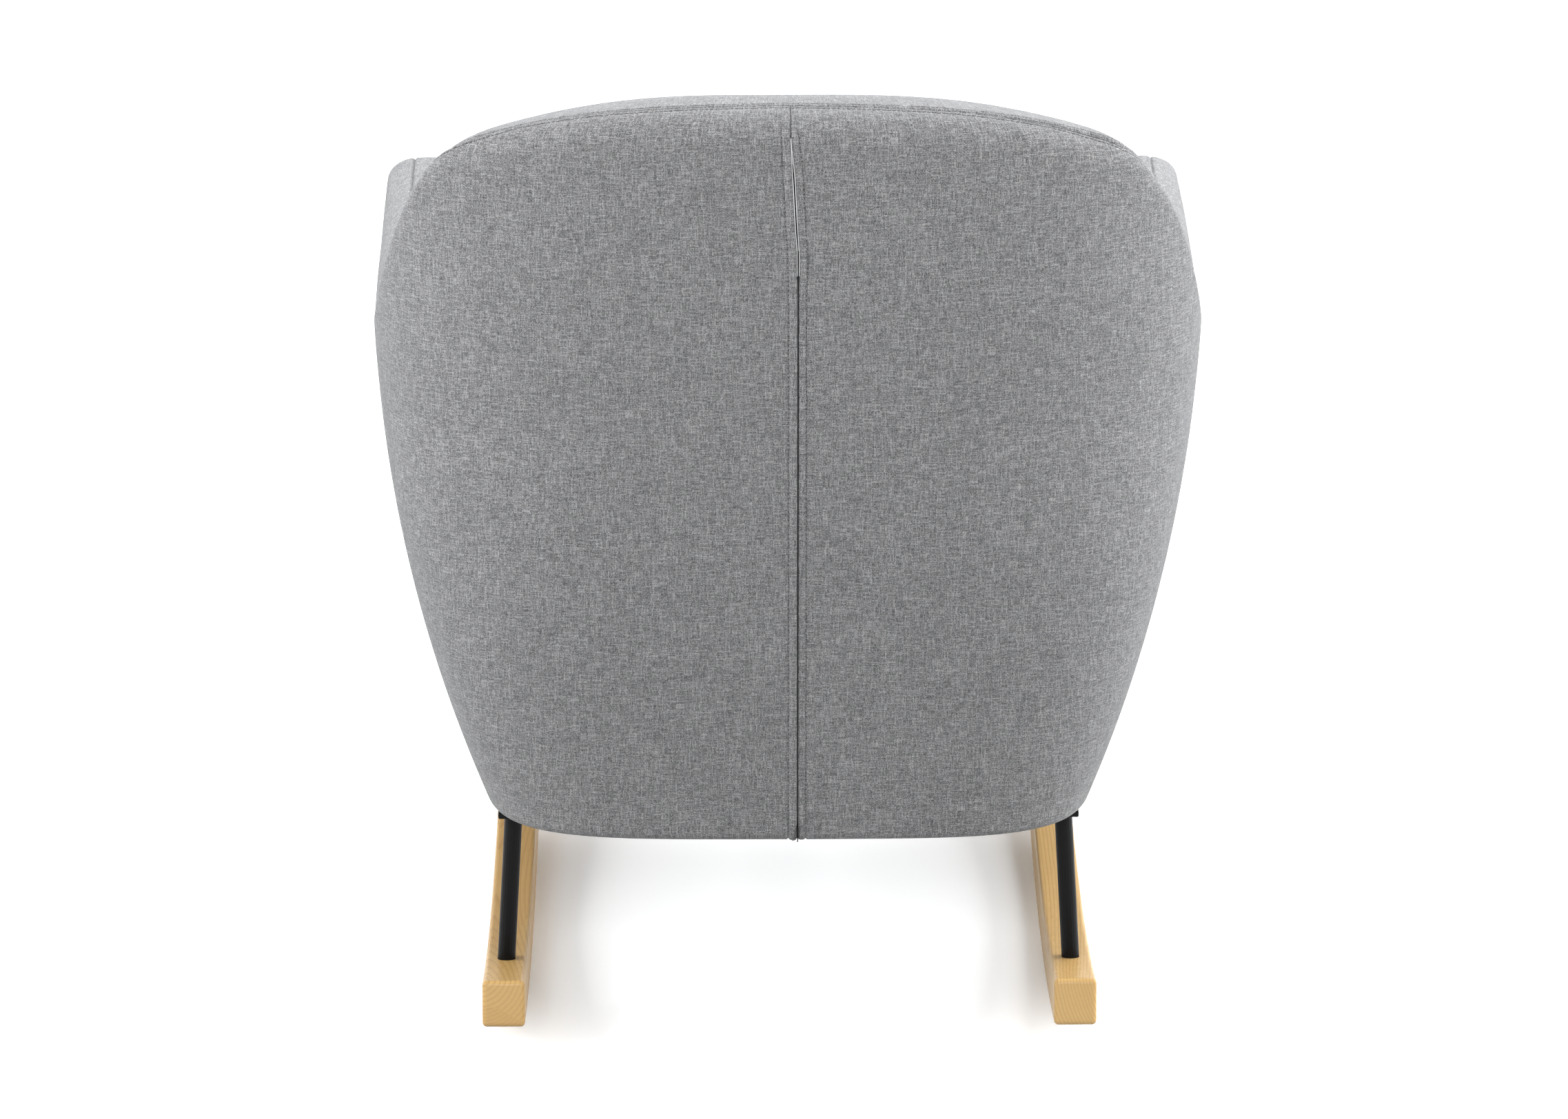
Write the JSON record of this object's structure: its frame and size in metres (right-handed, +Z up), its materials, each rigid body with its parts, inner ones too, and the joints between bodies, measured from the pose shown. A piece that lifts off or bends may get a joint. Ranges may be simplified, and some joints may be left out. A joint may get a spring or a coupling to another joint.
{
  "type": "rocking chair",
  "caption": "Padded tub rocking chair with a zipped woven cover and a loose seat cushion, on black tube legs and curved wooden rockers.",
  "frame": {"origin": "on the floor under the middle of the chair's overall box", "axes": "+Z up; the chair faces -Y; +X is the right-hand side of the model, which is the sitter's left"},
  "size_m": [0.7542, 0.8263, 0.889],
  "materials": {
    "cover_fabric": "woven, grey melange",
    "foam": "cut foam",
    "lining": "non-woven, black",
    "webbing": "woven elastic",
    "zip_tape": "woven tape, pale",
    "zip_chain": "coil, pale",
    "beech": "clear satin varnish",
    "plywood": "sawn",
    "black_steel": "satin black",
    "zinc_steel": "zinc plated"
  },
  "bodies": {
    "chair": {"apron_cover": "cover_fabric", "apron_pad": "foam", "arm_front_left": "cover_fabric", "arm_front_right": "cover_fabric", "arm_hoop_left": "zinc_steel", "arm_hoop_right": "zinc_steel", "back_hoop": "zinc_steel", "back_panel_left": "cover_fabric", "back_panel_right": "cover_fabric", "back_strap_1": "webbing", "back_strap_2": "webbing", "back_strap_3": "webbing", "base_board": "plywood", "dust_cover": "lining", "inner_cover": "cover_fabric", "inner_pad": "foam", "leg_front_left": "black_steel", "leg_front_right": "black_steel", "leg_insert_front_left": "zinc_steel", "leg_insert_front_right": "zinc_steel", "leg_insert_rear_left": "zinc_steel", "leg_insert_rear_right": "zinc_steel", "leg_rear_left": "black_steel", "leg_rear_right": "black_steel", "outer_pad_left": "foam", "outer_pad_right": "foam", "rail_bolt_front_left": "black_steel", "rail_bolt_front_right": "black_steel", "rail_bolt_rear_left": "black_steel", "rail_bolt_rear_right": "black_steel", "rim_band": "cover_fabric", "rim_pad": "foam", "rocker_bolt_front_left": "zinc_steel", "rocker_bolt_front_right": "zinc_steel", "rocker_bolt_rear_left": "zinc_steel", "rocker_bolt_rear_right": "zinc_steel", "rocker_left": "beech", "rocker_right": "beech", "seat_deck_cloth": "lining", "seat_rail_front": "plywood", "seat_rail_left": "plywood", "seat_rail_rear": "plywood", "seat_rail_right": "plywood", "seat_strap_1": "webbing", "seat_strap_2": "webbing", "seat_strap_3": "webbing", "seat_strap_4": "webbing", "side_rail_left": "black_steel", "side_rail_right": "black_steel", "tee_nut_front_left": "zinc_steel", "tee_nut_front_right": "zinc_steel", "tee_nut_rear_left": "zinc_steel", "tee_nut_rear_right": "zinc_steel", "zip_chain": "zip_chain", "zip_tape_left": "zip_tape", "zip_tape_right": "zip_tape"},
    "seat_cushion": {"seat_cushion": "cover_fabric"},
    "zip_slider": {"zip_pull": "black_steel", "zip_slider": "black_steel"}
  },
  "joints": [
    {"name": "cushion_lift", "type": "slide", "parent": "chair", "child": "seat_cushion", "axis": [0, 0, 1], "range_m": [0, 0.64]},
    {"name": "zip_travel", "type": "slide", "parent": "chair", "child": "zip_slider", "axis": [0, 0.0456, 0.999], "range_m": [0, 0.54]}
  ]
}
